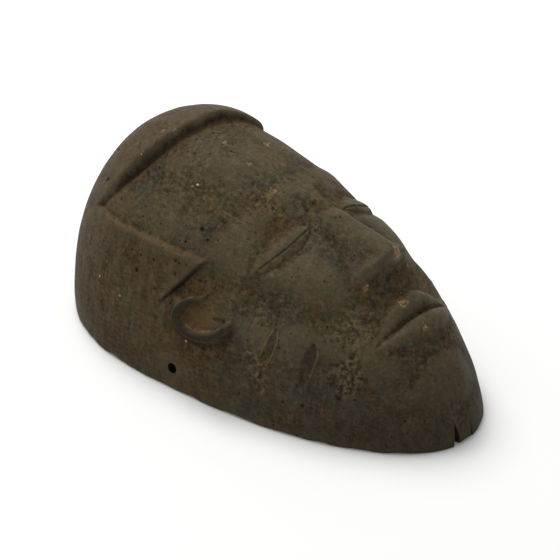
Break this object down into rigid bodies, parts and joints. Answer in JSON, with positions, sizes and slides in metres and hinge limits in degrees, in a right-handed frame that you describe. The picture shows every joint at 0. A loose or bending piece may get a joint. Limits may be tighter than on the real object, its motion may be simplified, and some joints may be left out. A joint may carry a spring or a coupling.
{
  "type": "carved face mask",
  "caption": "Life-size carved wooden face mask, hollow at the back, that lies face up on its flat rim.",
  "frame": {"origin": "middle of the rim's outline, in the plane that the rim lies on", "axes": "+X across the face, towards the mask's own left; +Y along it to the crown, so the chin is at -Y; +Z out of the face, away from the rim"},
  "size_m": [0.158, 0.2898, 0.1277],
  "materials": {
    "wood": "old dark olive-brown patina, satin on the high places"
  },
  "bodies": {
    "root": {"mask": "wood"}
  },
  "joints": []
}
